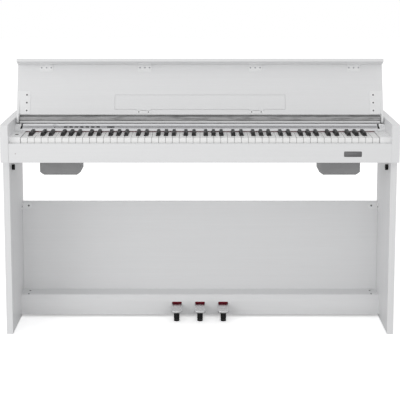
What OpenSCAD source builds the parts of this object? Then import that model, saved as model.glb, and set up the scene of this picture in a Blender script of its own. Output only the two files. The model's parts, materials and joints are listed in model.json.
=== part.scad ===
// Slim upright digital piano on its panel stand: a shallow key case between two
// side panels, a lid that folds back and serves as a music rest, an aluminium
// control strip, speaker pods under the key bed and a three-pedal box between
// the legs. Every section below is drawn as (depth behind the front, height).

/* [Keyboard] */
// Pitch from one white key to the next
white_pitch = 23.6; // [21:0.1:28.5]
// Number of white keys, counted up from the lowest A
white_keys = 52; // [45:1:52]
// Gap between neighbouring keys
key_gap = 0.8; // [0.6:0.1:1.2]
// Visible length of a white key, up to the control strip
white_len = 145; // [120:1:175]
// Visible length of a black key
black_len = 95; // [78:1:100]
// Width of a black key at its foot
black_foot_w = 13.7; // [12.5:0.1:14]
// Width of a black key across its top
black_top_w = 9.6; // [7.5:0.1:11.5]
// Height of a black key above the white keys
black_h = 11.5; // [9:0.5:14]
// Height of a white key's front apron
apron_h = 22; // [20:1:24]
// Thickness of the key bar behind its deep front part
key_bar_h = 12; // [11:0.5:14]
// Travel of a white key at its front edge
key_dip = 10; // [8:0.5:10.5]
// Distance from the front of the control strip back to the key pivots
pivot_back = 120; // [90:1:144]

/* [Case] */
// Depth of the side panels, front to back
case_d = 400; // [360:1:480]
// Height of the key bed's underside above the floor
bed_z = 620; // [540:1:744]
// Height of the side panels above the key bed's underside
side_h = 130; // [129:1:150]
// Thickness of the side panels
side_t = 27; // [23:1:32]
// Radius of the side panels' front top corner
side_nose_r = 9; // [4:1:20]
// Thickness of the key bed
bed_t = 16; // [12:1:20]
// Height of the key slip, the rail in front of the keys
slip_h = 65; // [62:1:70]
// Thickness of the key slip
slip_t = 20; // [16:1:24]
// Height of the white keys above the key slip
key_rise = 17; // [14:1:18]
// Thickness of the top board and the rear board
board_t = 15; // [12:1:18]
// Width of the key blocks at the ends of the keyboard
block_w = 38.4; // [34:0.1:50]

/* [Lid] */
// Thickness of the lid and of its lip
lid_t = 12; // [10:1:14]
// Length of the lip below the lid's inner face
lip_len = 45; // [38:1:47]
// Angle from the closed lid to the open lid
lid_open = 110; // [95:1:115]
// Width of the folding music ledge
ledge_w = 604; // [500:1:760]
// Length of the music ledge from its hinged edge to its free edge
ledge_len = 52; // [44:1:62]
// Distance from the ledge's hinged edge to the lid's rear edge
ledge_edge = 19.5; // [18:0.5:25]

/* [Control strip] */
// Depth of the aluminium control strip
strip_d = 30.4; // [30:0.2:36]
// Diameter of the volume knob
knob_d = 12.4; // [9:0.2:14]
// Height of the volume knob
knob_h = 7; // [4:0.5:12]
// Pitch of the row of buttons
button_pitch = 19.1; // [15:0.1:23]
// Length of a button
button_l = 12; // [9:0.1:14]
// Width of a button
button_w = 5; // [4:0.1:6]
// Travel of a button
button_dip = 1; // [0.6:0.1:1]
// Length of the two-way rocker
rocker_l = 27; // [22:0.5:32]

/* [Stand] */
// Thickness of the legs
leg_t = 22; // [18:1:26]
// Distance of the legs' front edges behind the case's front
leg_set = 51; // [30:1:70]
// Thickness of the modesty panel
modesty_t = 15; // [12:1:18]
// Height of the modesty panel's top edge
modesty_top = 416; // [350:1:500]
// Distance from the case's back to the modesty panel's front face
modesty_back = 42; // [34:1:60]
// Depth of the pedal box in front of the modesty panel
box_d = 89; // [80:1:107]
// Height of the pedal box's top above the floor
box_top = 82; // [79:1:100]
// Height of the pedal box's underside above the floor
box_lift = 9; // [8:0.5:11]
// Thickness of the pedal box's walls
box_wall = 12; // [9:1:14]

/* [Pedals] */
// Pitch of the three pedals
pedal_pitch = 85; // [68:1:105]
// Length of a pedal in front of the pedal box
pedal_len = 102; // [85:1:125]
// Greatest width of a pedal
pedal_w = 42; // [34:1:46]
// Width of a pedal where it enters the box
pedal_root_w = 33; // [26:1:34]
// Thickness of a pedal
pedal_t = 8; // [6:0.5:9]
// Height of a pedal's top above the floor
pedal_top = 50; // [48:1:52]
// Travel of a pedal at its tip
pedal_dip = 11; // [8:0.5:12]
// Diameter of the posts that stop the pedals
post_d = 20.6; // [16:0.2:26]
// Distance from the pedal box's face to the posts' centres
post_out = 52; // [44:1:64]

/* [Speakers] */
// Width of a speaker pod
pod_w = 142; // [120:1:170]
// Depth of a speaker pod
pod_d = 112; // [104:1:134]
// Height of a speaker pod
pod_h = 58; // [54:1:70]
// Distance from the middle of the piano to a pod's middle
pod_x = 486; // [380:1:520]
// Distance from the case's front to the pods
pod_y = 90; // [60:1:110]
// Radius of the speaker cone's opening
cone_r = 38; // [32:0.5:42]

/* [Hidden] */
$fn = 48;

// Finishes
white_paint = [0.87, 0.88, 0.89];
white_plastic = [0.93, 0.93, 0.93];
black_plastic = [0.06, 0.06, 0.07];
pod_grey = [0.34, 0.34, 0.35];
bright_metal = [0.76, 0.77, 0.79];
dull_metal = [0.55, 0.56, 0.58];
felt_red = [0.36, 0.03, 0.07];

// Levels and depths that several pieces share
keyboard_w = white_keys * white_pitch;
block_gap = 1;
inner_x = keyboard_w / 2 + block_gap + block_w;
case_x = inner_x + side_t;
leg_x = case_x - leg_t;
bed_top = bed_z + bed_t;
slip_top = bed_z + slip_h;
key_top = slip_top + key_rise;
case_top = bed_z + side_h;
slip_set = 2;
slip_back = slip_set + slip_t;
key_slip_gap = 2.6;
key_y = slip_back + key_slip_gap;
strip_y = key_y + white_len;
deck_y = strip_y + strip_d;
rear_y = case_d - board_t;
lap = 1;

// Keys and the frame they sit on
apron_t = 3;
apron_set = 0.8;
key_wall = 1.8;
key_roof = 2.5;
key_nose_r = 1.5;
black_slot = black_foot_w + key_gap;
black_gap_back = 1.6;
black_end = strip_y - black_gap_back;
black_y = black_end - black_len;
black_bar_h = 18;
notch_y = black_y - key_gap;
pivot_y = strip_y + pivot_back;
pivot_z = key_top - key_bar_h + 2;
pivot_r = 2.5;
pivot_gap = 0.3;
key_end = pivot_y + 12;
tail_drop = 3;
guide_gap = 0.4;
guide_l = 10;
white_guide_y = key_y + 20;
black_guide_y = black_y + 12;
pocket_l = 36;
dip_ratio = key_dip / (pivot_y - key_y);
white_guide_top = key_top - key_roof - 1.5 - key_dip;
black_guide_top = key_top - key_roof - 1.5 - dip_ratio * (pivot_y - black_y);
white_rail_top = key_top - apron_h - key_dip - 2;
black_rail_top = key_top - black_bar_h - dip_ratio * (pivot_y - black_y) - 2;
frame_plate = 3;
frame_x = keyboard_w / 2 - 1;

// Control strip: its section is set out from its own front edge
foot_z = key_top + 2.4;
foot_t = 1.8;
foot_d = 9;
lip_run = 3.4;
lip_z = key_top + 12;
face_run = 17;
face_rise = 8;
face_a = atan2(face_rise, face_run);
sheet_t = 2;
ridge_z = key_top + 26;
groove_z = ridge_z - 3.4;
groove_h = 6;
cap_t = 7.5;
cap_slant = 3.5;
cap_gap = 0.3;
strip_end = 26;
strip_x = inner_x - strip_end;
strip_rear_gap = 0.4;
deck_lap = 12;
nose_z = case_top - board_t + 2;
under_face = 3;
board_thin = 1.6;
button_proud = 1.2;
button_gap = 0.3;
flange_t = 0.8;
switch_gap = 0.1;
knob_x = -strip_x + 113;
first_button_x = knob_x + 39.5;
rocker_x = first_button_x + 6 * button_pitch + 44.5;

// Lid, set out shut; the pivot lies behind and above its rear inner edge
lid_gap = 3;
lid_x = inner_x - lid_gap;
lid_front = 3;
lid_rear = deck_y - 3;
lid_inner = case_top - lid_t;
lid_pivot_y = lid_rear + 11.8;
lid_pivot_z = lid_inner + 7.3;
lid_pin_r = 2.5;
lid_pin_gap = 0.08;
plate_t = 2;
arm_t = 2.5;
arm_w = 7;
arm_x = inner_x - 4.5;
arm_l = 86;
arm_reach = 20;
arm_slot_x0 = arm_x - arm_w - 1.5;
arm_slot_back = 28;
deck_x = arm_slot_x0 - 0.5;
leaf_w = 46;
leaf_t = 1.6;
screw_row = 33.5;
pin_head_t = 1.2;
ledge_t = 5.5;
ledge_gap = 0.5;
ledge_back = lid_rear - ledge_edge;
knuckle_r = 2.4;
knuckle_pin_r = 1;
knuckle_pin_gap = 0.15;
knuckle_y = ledge_back + 2.8;
knuckle_z = lid_inner - 0.6;
ledge_hinge_w = 52;
ledge_hinge_x = ledge_w / 2 - 102;

// Stand, pedal box and pedals
leg_back = 10;
modesty_y = case_d - modesty_back;
box_y = modesty_y - box_d;
bevel_h = 19;
bevel_d = 10;
tray_t = 3;
slot_gap = 1.5;
slot_bottom = 34;
slot_bevel = 2.5;
pedal_z = pedal_top - pedal_t;
felt_t = 6;
lever_w = 18;
pedal_pivot_y = box_y + 60;
pedal_pivot_z = pedal_z + pedal_t / 2;
pedal_pin_r = 3;
pedal_pin_gap = 0.1;
pedal_swing = asin(pedal_dip / (60 + pedal_len));
post_y = box_y - post_out;
post_top = pedal_z - sin(pedal_swing) * (60 + post_out + post_d / 2) - 0.6;
neck_r = 6;
neck_gap = 0.2;

// Fittings
badge_l = 61;
badge_h = 19;
badge_x = case_x - 159;
badge_z = bed_z + 20;
lamp_x = 24 - inner_x;
lamp_z = bed_z + 31;
lamp_r = 2.2;
bolt_r = 10;
bolt_h = 9;
jack_x = -480;
jack_z = bed_top + 38;
jack_r = 3.3;
jack_depth = 14;
pod_wall = 3;
pod_cut_x = 14;
pod_cut_z = 11;

function keyboard_x(w) = (w - white_keys / 2) * white_pitch;
function letter(w) = (w + 5) % 7;
function has_sharp(w) = w < white_keys - 1 && letter(w) != 2 && letter(w) != 6;
// Between C and E, and between F and B, the keys' rear parts share the space evenly
function low_group(w) = letter(w) < 3;
function group_place(w) = low_group(w) ? letter(w) : letter(w) - 3;
function rear_slot(w) = low_group(w)
    ? (3 * white_pitch - 2 * black_slot) / 3
    : (4 * white_pitch - 3 * black_slot) / 4;
function sharp_x(w) = keyboard_x(w - group_place(w))
    + (group_place(w) + 1) * rear_slot(w) + group_place(w) * black_slot;
function rear_x0(w) = w > 0 && has_sharp(w - 1) ? sharp_x(w - 1) + black_slot : keyboard_x(w);
function rear_x1(w) = has_sharp(w) ? sharp_x(w) : keyboard_x(w + 1);

// Moves a piece from depths behind the front to the middle of the case
module from_front() {
    translate([0, -case_d / 2, 0])
        children();
}

// Runs a section drawn as (depth, height) along the piano's width
module along_x(x0, x1) {
    translate([x0, 0, 0])
        rotate([90, 0, 90])
            linear_extrude(x1 - x0)
                children();
}

// Runs a section drawn as (width, height) back from depth y0 to y1
module along_y(y0, y1) {
    translate([0, y1, 0])
        rotate([90, 0, 0])
            linear_extrude(y1 - y0)
                children();
}

module both_ends() {
    children();
    mirror([1, 0, 0])
        children();
}

// A rectangle with round corners, from its lower left corner
module round_rect(w, h, r) {
    translate([r, 0])
        square([w - 2 * r, h]);
    translate([0, r])
        square([w, h - 2 * r]);
    for (x = [r, w - r])
        for (y = [r, h - r])
            translate([x, y])
                circle(r);
}

// A slot shape with round ends, centred
module pill(l, w) {
    square([l - w, w], center = true);
    for (side = [-1, 1])
        translate([side * (l - w) / 2, 0])
            circle(w / 2);
}

// A board given by its two corners
module board(x0, x1, y0, y1, z0, z1) {
    translate([x0, y0, z0])
        cube([x1 - x0, y1 - y0, z1 - z0]);
}

// Turns a lid piece, set out shut, about the lid's pivot to its open place
module opened() {
    translate([0, lid_pivot_y, lid_pivot_z])
        rotate([-lid_open, 0, 0])
            translate([0, -lid_pivot_y, -lid_pivot_z])
                children();
}

// A place on the control strip's sloping face: z is the face's normal there
module on_face(x) {
    translate([x, strip_y + lip_run + face_run / 2, lip_z + face_rise / 2])
        rotate([face_a, 0, 0])
            children();
}

// Side panel with its front top corner rounded over
module side_panel() {
    color(white_paint)
        from_front()
            along_x(inner_x, case_x) {
                translate([0, bed_z])
                    square([case_d, side_h - side_nose_r]);
                translate([side_nose_r, bed_z])
                    square([case_d - side_nose_r, side_h]);
                translate([side_nose_r, case_top - side_nose_r])
                    circle(side_nose_r);
            }
}

module leg() {
    bore_r = 3.2;
    color(white_paint)
        from_front()
            difference() {
                board(leg_x, case_x, leg_set, case_d - leg_back, 0, bed_z);
                for (y = bolt_depths())
                    translate([leg_x - lap, y, bed_z - 35])
                        rotate([0, 90, 0])
                            cylinder(h = 13 + lap, r = bore_r);
            }
}

function bolt_depths() = [leg_set + 70, case_d - leg_back - 70];

// Hand bolts on the legs' inner faces, each with a fluted head and a shank
module leg_bolts() {
    flutes = 10;
    color(black_plastic)
        from_front()
            both_ends()
                for (y = bolt_depths())
                    translate([leg_x, y, bed_z - 35]) {
                        rotate([0, -90, 0])
                            difference() {
                                cylinder(h = bolt_h, r = bolt_r);
                                for (i = [0 : flutes - 1])
                                    rotate([0, 0, i * 360 / flutes])
                                        translate([bolt_r + 0.6, 0, 2.5])
                                            cylinder(h = bolt_h, r = 1.8, $fn = 16);
                            }
                        rotate([0, 90, 0])
                            cylinder(h = 12, r = 3);
                    }
}

module key_bed() {
    color(white_paint)
        from_front()
            board(-inner_x, inner_x, slip_back, rear_y, bed_z, bed_top);
}

// Front rail with a shallow seat for a bare plate near its right end and a
// small one for the power lamp near its left end
module key_slip() {
    seat_d = 0.8;
    color(white_paint)
        from_front()
            difference() {
                board(-inner_x, inner_x, slip_set, slip_back, bed_z, slip_top);
                translate([badge_x - badge_l / 2, slip_set + seat_d, badge_z])
                    rotate([90, 0, 0])
                        linear_extrude(seat_d + lap)
                            round_rect(badge_l, badge_h, 3);
                translate([lamp_x, slip_set + seat_d, lamp_z])
                    rotate([90, 0, 0])
                        cylinder(h = seat_d + lap, r = lamp_r);
            }
}

// Rear board with the window that the jack panel shows through
module rear_board() {
    window = [150, 40];
    color(white_paint)
        from_front()
            difference() {
                board(-inner_x, inner_x, rear_y, case_d, bed_z, case_top - board_t);
                translate([jack_x, case_d + lap, jack_z])
                    rotate([90, 0, 0])
                        linear_extrude(board_t + 2 * lap)
                            translate(-window / 2)
                                round_rect(window.x, window.y, 5);
            }
}

// Top board, cut away at its front corners where the lid's arms swing
module top_board() {
    color(white_paint)
        from_front()
            difference() {
                board(-inner_x, inner_x, deck_y + deck_lap, case_d, case_top - board_t, case_top);
                both_ends()
                    board(arm_slot_x0, inner_x + lap, deck_y, deck_y + arm_slot_back,
                        case_top - board_t - lap, case_top + lap);
            }
}

// Cross rail under the top board's front edge: a groove behind the strip's ridge
// leaves a shadow line, and the nose above it carries the grille strip
module deck_rail() {
    front = deck_y + strip_rear_gap;
    groove_back = deck_y + 10;
    rail_back = deck_y + 26;
    color(white_paint)
        from_front()
            along_x(-deck_x, deck_x)
                polygon([
                    [front, key_top + 4],
                    [rail_back, key_top + 4],
                    [rail_back, case_top - board_t],
                    [deck_y + deck_lap, case_top - board_t],
                    [deck_y + deck_lap, nose_z],
                    [front, nose_z],
                    [front, groove_z + groove_h],
                    [groove_back, groove_z + groove_h],
                    [groove_back, groove_z],
                    [front, groove_z]
                ]);
}

// Grille strip with a row of fine sound slots along its face; its round top edge
// follows the lid's rear edge closely as the lid turns
module grille_strip() {
    slat = 12;
    slots = floor((2 * deck_x - 40) / slat);
    front = deck_y + strip_rear_gap;
    back = deck_y + deck_lap;
    edge_r = lid_pivot_y - lid_rear - 0.8;
    front_a = acos((front - lid_pivot_y) / edge_r);
    back_a = acos((back - lid_pivot_y) / edge_r);
    color(dull_metal)
        from_front()
            difference() {
                along_x(-deck_x, deck_x)
                    polygon(concat(
                        [[front, nose_z], [back, nose_z]],
                        arc_points(edge_r, back_a, front_a, 8)
                    ));
                for (i = [0 : slots - 1])
                    translate([(i - (slots - 1) / 2) * slat, deck_y, nose_z + 6.5])
                        cube([8, 3, 3], center = true);
            }
}

// Key block section: an open-bottomed cover with a rounded front edge
module block_section(inset) {
    y0 = slip_back + 1 + inset;
    y1 = strip_y - 0.5 - inset;
    z1 = key_top + 3 - inset;
    r = 3;
    translate([y0, bed_top])
        square([y1 - y0, z1 - bed_top - r]);
    translate([y0 + r, bed_top])
        square([y1 - y0 - r, z1 - bed_top]);
    translate([y0 + r, z1 - r])
        circle(r);
}

// Where the power button sits, on the left block
function power_x() = -(inner_x - 19);
function power_y() = key_y + 62;
power_r = 6.5;
power_dip = 1.2;
power_bore = 9;

module key_blocks() {
    wall = 3;
    x0 = keyboard_w / 2 + block_gap;
    color(white_plastic)
        from_front()
            difference() {
                union() {
                    both_ends()
                        difference() {
                            along_x(x0, inner_x)
                                block_section(0);
                            translate([0, 0, -lap])
                                along_x(x0 + wall, inner_x - wall)
                                    block_section(wall);
                        }
                    translate([power_x(), power_y(), key_top + 3 - power_bore - wall])
                        cylinder(h = power_bore + wall, r = power_r + wall);
                }
                translate([power_x(), power_y(), key_top + 3 - power_bore])
                    cylinder(h = power_bore + lap, r = power_r + button_gap);
            }
}

module power_button() {
    proud = 0.8;
    color(black_plastic)
        from_front()
            translate([power_x(), power_y(), key_top + 3 - power_bore + power_dip + 0.1])
                difference() {
                    cylinder(h = power_bore - power_dip - 0.1 + proud, r = power_r);
                    translate([0, 0, power_bore - power_dip - 0.1 + proud - 0.5])
                        cylinder(h = lap, r = power_r - 1.6);
                }
}

// Moulded key frame: a plate with guide tongues under every key's front part, a
// rail under each row of tongues, and a round bead that the keys clip over
module key_frame() {
    web_t = 3;
    color(black_plastic)
        from_front() {
            board(-frame_x, frame_x, slip_back + 8, pivot_y + 10, bed_top, bed_top + frame_plate);
            board(-frame_x, frame_x, white_guide_y - 5, white_guide_y + guide_l + 5,
                bed_top, white_rail_top);
            board(-frame_x, frame_x, black_guide_y - 5, black_guide_y + guide_l + 5,
                bed_top, black_rail_top);
            for (w = [0 : white_keys - 1])
                board(keyboard_x(w) + key_gap / 2 + key_wall + guide_gap,
                    keyboard_x(w + 1) - key_gap / 2 - key_wall - guide_gap,
                    white_guide_y, white_guide_y + guide_l, white_rail_top - lap, white_guide_top);
            for (w = [0 : white_keys - 1])
                if (has_sharp(w))
                    board(sharp_x(w) + key_gap / 2 + key_wall + guide_gap,
                        sharp_x(w) + key_gap / 2 + black_foot_w - key_wall - guide_gap,
                        black_guide_y, black_guide_y + guide_l, black_rail_top - lap, black_guide_top);
            along_x(-frame_x, frame_x) {
                translate([pivot_y - web_t / 2, bed_top])
                    square([web_t, pivot_z - bed_top]);
                translate([pivot_y, pivot_z])
                    circle(pivot_r);
            }
        }
}

// The cut that clips a key over the frame's bead
module pivot_cut() {
    translate([pivot_y, pivot_z])
        circle(pivot_r + pivot_gap);
}

// Front part of a white key: the roof overhangs the deep apron a little
module white_head_section() {
    roof_t = 3;
    polygon([
        [key_y + apron_set, key_top - apron_h],
        [key_y + 42, key_top - apron_h],
        [notch_y, key_top - key_bar_h],
        [notch_y, key_top],
        [key_y + key_nose_r, key_top],
        [key_y + key_nose_r, key_top - roof_t],
        [key_y + apron_set, key_top - roof_t]
    ]);
    translate([key_y, key_top - roof_t])
        square([10, roof_t - key_nose_r]);
    translate([key_y + key_nose_r, key_top - key_nose_r])
        circle(key_nose_r);
}

// The rear part of any key, from depth y0 back to the pivot and past it
module tail_section(y0) {
    difference() {
        polygon([
            [y0, key_top - key_bar_h],
            [key_end, key_top - key_bar_h],
            [key_end, key_top - tail_drop],
            [strip_y + 4, key_top - tail_drop],
            [strip_y + 1, key_top],
            [y0, key_top]
        ]);
        pivot_cut();
    }
}

module white_key(w) {
    x0 = keyboard_x(w) + key_gap / 2;
    x1 = keyboard_x(w + 1) - key_gap / 2;
    difference() {
        union() {
            along_x(x0, x1)
                white_head_section();
            along_x(rear_x0(w) + key_gap / 2, rear_x1(w) - key_gap / 2)
                tail_section(notch_y - 2);
        }
        board(x0 + key_wall, x1 - key_wall, key_y + apron_set + apron_t,
            key_y + apron_set + apron_t + pocket_l, key_top - apron_h - lap, key_top - key_roof);
    }
}

// Side view of a black key's raised cap, with its sloping front
module black_cap_section() {
    slope_d = 7;
    polygon([
        [black_y, key_top - black_bar_h],
        [black_y + 42, key_top - black_bar_h],
        [black_y + 50, key_top - key_bar_h],
        [black_end, key_top - key_bar_h],
        [black_end, key_top + black_h - 1.2],
        [black_end - 2, key_top + black_h - 0.4],
        [black_y + slope_d + 4, key_top + black_h],
        [black_y + slope_d, key_top + black_h - 1.4],
        [black_y, key_top - 1]
    ]);
}

// Front view of a black key, narrowing upwards to its rounded top edges
module black_front_section() {
    foot = black_foot_w / 2;
    top = black_top_w / 2;
    polygon([
        [-foot, key_top - black_bar_h - lap],
        [foot, key_top - black_bar_h - lap],
        [foot, key_top - 1],
        [top + 0.5, key_top + black_h - 1.6],
        [top - 0.6, key_top + black_h - 0.4],
        [top - 1.8, key_top + black_h + lap],
        [-top + 1.8, key_top + black_h + lap],
        [-top + 0.6, key_top + black_h - 0.4],
        [-top - 0.5, key_top + black_h - 1.6],
        [-foot, key_top - 1]
    ]);
}

module black_key(w) {
    x0 = sharp_x(w) + key_gap / 2;
    x1 = x0 + black_foot_w;
    difference() {
        union() {
            intersection() {
                along_x(x0 - lap, x1 + lap)
                    black_cap_section();
                translate([(x0 + x1) / 2, 0, 0])
                    along_y(black_y - lap, black_end + lap)
                        black_front_section();
            }
            along_x(x0, x1)
                tail_section(black_end - 10);
        }
        board(x0 + key_wall, x1 - key_wall, black_y + apron_t, black_y + apron_t + pocket_l,
            key_top - black_bar_h - lap, key_top - key_roof);
    }
}

// Every white key of one letter, counted from 0 for C to 6 for B
module white_keys_of(l) {
    color(white_plastic)
        from_front()
            for (w = [0 : white_keys - 1])
                if (letter(w) == l)
                    white_key(w);
}

// Every black key that follows one letter
module black_keys_of(l) {
    color(black_plastic)
        from_front()
            for (w = [0 : white_keys - 1])
                if (letter(w) == l && has_sharp(w))
                    black_key(w);
}

// Felt strip under the foot of the control strip
module key_felt() {
    color(felt_red)
        from_front()
            board(-keyboard_w / 2, keyboard_w / 2, strip_y - 0.8, strip_y + foot_d,
                foot_z - foot_t, foot_z);
}

// Outline of the control strip, from its foot up its face and over the ridge
// to the groove behind it
module strip_outline() {
    face_back = strip_y + lip_run + face_run;
    polygon([
        [strip_y, foot_z],
        [strip_y, foot_z + foot_t],
        [strip_y + lip_run, lip_z],
        [face_back, lip_z + face_rise],
        [face_back + 1.4, ridge_z - 1],
        [face_back + 2.4, ridge_z],
        [face_back + 3.8, ridge_z],
        [face_back + 4.6, ridge_z - 0.9],
        [face_back + 4.8, groove_z],
        [deck_y, groove_z],
        [deck_y, foot_z]
    ]);
}

// The extrusion's hollow, open towards the back under its face
module strip_hollow() {
    polygon([
        [strip_y + 2.2, foot_z + foot_t],
        under_face_point(1.6),
        under_face_point(face_run + 0.8),
        [strip_y + lip_run + face_run + 4, groove_z - sheet_t],
        [deck_y - sheet_t, groove_z - sheet_t],
        [deck_y - sheet_t, foot_z + foot_t]
    ]);
    translate([strip_y + foot_d, foot_z - lap])
        square([strip_d - foot_d - sheet_t, 8]);
}

// A point on the face's underside, a run behind the lip
function under_face_point(run) = [strip_y + lip_run + run,
    lip_z + run * tan(face_a) - sheet_t / cos(face_a)];
function button_x(i) = first_button_x + i * button_pitch;
function boss_places() = [knob_x - 16, knob_x + 20, button_x(3) + button_pitch / 2,
    button_x(6) + 14, rocker_x + rocker_l / 2 + 6];

module control_strip() {
    color(bright_metal)
        from_front() {
            difference() {
                along_x(-strip_x, strip_x)
                    difference() {
                        strip_outline();
                        strip_hollow();
                    }
                on_face(knob_x)
                    translate([0, 0, -sheet_t - lap])
                        cylinder(h = sheet_t + 2 * lap, r = 3.3);
                for (i = [0 : 6])
                    on_face(button_x(i))
                        translate([0, 0, -sheet_t - lap])
                            linear_extrude(sheet_t + 2 * lap)
                                pill(button_l + 2 * button_gap, button_w + 2 * button_gap);
                on_face(rocker_x)
                    translate([0, 0, -sheet_t - lap])
                        linear_extrude(sheet_t + 2 * lap)
                            pill(rocker_l + 2 * button_gap, button_w + 2 * button_gap);
            }
            for (x = boss_places())
                on_face(x)
                    translate([0, 0, -sheet_t - under_face])
                        cylinder(h = under_face + 0.4, r = 2.2);
        }
}

// Plan of an end cap: its outer edge slants out towards the strip's lip
module cap_plan(gap) {
    back = strip_y + lip_run + face_run + 6;
    polygon([
        [strip_x - gap, strip_y - gap],
        [strip_x + cap_t + gap, strip_y - gap],
        [strip_x + cap_t - cap_slant + gap, back],
        [strip_x - gap, back]
    ]);
}

// Caps that close the strip's face at both ends
module strip_end_caps() {
    color(black_plastic)
        from_front()
            both_ends()
                intersection() {
                    along_x(strip_x, strip_x + cap_t)
                        strip_outline();
                    translate([0, 0, lip_z - 1])
                        linear_extrude(case_top - lip_z)
                            cap_plan(0);
                }
}

// Board with the switches that the buttons press
module circuit_board() {
    x0 = knob_x - 20;
    x1 = rocker_x + rocker_l / 2 + 10;
    width = 13;
    switch = 4;
    color([0.05, 0.3, 0.16])
        from_front()
            on_face(0)
                translate([0, 0, -sheet_t - under_face]) {
                    translate([x0, -width / 2, -board_thin])
                        cube([x1 - x0, width, board_thin]);
                    for (i = [0 : 6])
                        translate([button_x(i) - switch / 2, -switch / 2, -0.1])
                            cube([switch, switch,
                                under_face - flange_t - 0.2 - button_dip - switch_gap + 0.1]);
                    for (side = [-1, 1])
                        translate([rocker_x + side * (rocker_l / 2 - 5) - switch / 2, -switch / 2, -0.1])
                            cube([switch, switch, 0.6]);
                    translate([rocker_x - 0.75, -switch / 2, -0.1])
                        cube([1.5, switch, 1.4]);
                }
}

// Button: a round-ended key top with a wider foot that keeps it in the strip
module panel_button(i) {
    depth = sheet_t + 0.2;
    color(black_plastic)
        from_front()
            on_face(button_x(i)) {
                translate([0, 0, -depth])
                    linear_extrude(depth + button_proud)
                        pill(button_l, button_w);
                translate([0, 0, -depth - flange_t])
                    linear_extrude(flange_t)
                        pill(button_l + 2, button_w + 2);
            }
}

module value_rocker() {
    depth = 3.4;
    color(black_plastic)
        from_front()
            on_face(rocker_x)
                translate([0, 0, -depth])
                    linear_extrude(depth + button_proud)
                        pill(rocker_l, button_w);
}

// Volume knob with a fluted rim, on a shaft through the strip
module volume_knob() {
    flutes = 18;
    color(bright_metal)
        from_front()
            on_face(knob_x) {
                translate([0, 0, 0.4])
                    difference() {
                        cylinder(h = knob_h, r = knob_d / 2);
                        for (i = [0 : flutes - 1])
                            rotate([0, 0, i * 360 / flutes])
                                translate([knob_d / 2 + 0.2, 0, 1.4])
                                    cylinder(h = knob_h, r = 0.55, $fn = 16);
                        translate([0, 0, knob_h - 0.5])
                            cylinder(h = lap, r = knob_d / 2 - 1.8);
                    }
                translate([0, 0, -sheet_t - under_face + 0.3])
                    cylinder(h = sheet_t + under_face + 1, r = 3);
            }
}

// Points on a circle about the lid's pivot, as (depth, height)
function arc_points(r, a0, a1, steps) = [for (i = [0 : steps])
    [lid_pivot_y, lid_pivot_z] + r * [cos(a0 + (a1 - a0) * i / steps),
        sin(a0 + (a1 - a0) * i / steps)]];

// Section of the plate on each side panel: it carries on the control strip's slope
// and stands up to the top board
module plate_section() {
    front = strip_y + 0.2;
    bottom = key_top + 3.2;
    back = deck_y + arm_slot_back - 0.5;
    polygon([
        [front, bottom],
        [front, foot_z + foot_t],
        [strip_y + lip_run, lip_z],
        [strip_y + lip_run + face_run, lip_z + face_rise],
        [deck_y + 0.5, ridge_z],
        [deck_y + 0.5, case_top - 1],
        [back, case_top - 1],
        [back, bottom]
    ]);
}

// Section of the cover between the strip's end and the plate, in front of the arm
module cover_section(inset) {
    front = strip_y + 0.2 + inset;
    bottom = key_top + 3.2 - (inset > 0 ? lap : 0);
    face_back = strip_y + lip_run + face_run;
    back = deck_y - 4 - inset;
    polygon([
        [front, bottom],
        [front, foot_z + foot_t],
        [strip_y + lip_run + inset * 0.8, lip_z - inset * 0.6],
        [face_back + inset * 0.4, lip_z + face_rise - inset * 0.8],
        [face_back + 2.4, ridge_z - inset],
        [back, ridge_z - inset],
        [back, bottom]
    ]);
}

// Steel plate on each side panel's inner face, with the pin the lid turns on and a
// folded cover that runs on from the control strip's end
module hinge_plates() {
    pin_l = inner_x - plate_t - (arm_x - arm_w) + 0.3;
    color(white_paint)
        from_front()
            both_ends() {
                along_x(inner_x - plate_t, inner_x)
                    plate_section();
                difference() {
                    along_x(strip_x + cap_gap, inner_x - plate_t + 0.5)
                        cover_section(0);
                    along_x(strip_x + cap_gap + plate_t, inner_x - plate_t)
                        cover_section(plate_t);
                    translate([0, 0, lip_z - 1 - cap_gap])
                        linear_extrude(case_top - lip_z)
                            cap_plan(cap_gap);
                }
                along_x(inner_x - plate_t - pin_l, inner_x - plate_t + 0.5)
                    translate([lid_pivot_y, lid_pivot_z])
                        circle(lid_pin_r);
                along_x(inner_x - plate_t - pin_l - pin_head_t, inner_x - plate_t - pin_l)
                    translate([lid_pivot_y, lid_pivot_z])
                        circle(lid_pin_r + 1.8);
            }
}

// The lid's arm on each side: a leaf under the lid with three screw holes, and a
// curved cheek with a folded rim that sinks into its slot as the lid turns
module lid_hinge_arms() {
    leaf_front = lid_rear - arm_l;
    screw_pitch = 28.5;
    color(white_paint)
        from_front()
            opened()
                both_ends() {
                    difference() {
                        board(arm_x - leaf_w, arm_x, leaf_front, lid_rear - 2,
                            lid_inner - leaf_t, lid_inner);
                        for (i = [0 : 2])
                            translate([arm_x - screw_row, lid_rear - 14.5 - i * screw_pitch,
                                lid_inner - leaf_t - lap])
                                cylinder(h = leaf_t + 2 * lap, r = 2.2);
                    }
                    along_x(arm_x - arm_w, arm_x - arm_w + arm_t)
                        arm_section(cheek_points());
                    along_x(arm_x - arm_w + arm_t / 2, arm_x)
                        arm_section(rim_points());
                }
}

// One layer of the arm: the given outline joined to the eye round the lid's pin
module arm_section(points) {
    difference() {
        union() {
            polygon(points);
            translate([lid_pivot_y, lid_pivot_z])
                circle(5.5);
        }
        translate([lid_pivot_y, lid_pivot_z])
            circle(lid_pin_r + lid_pin_gap);
    }
}

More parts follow.
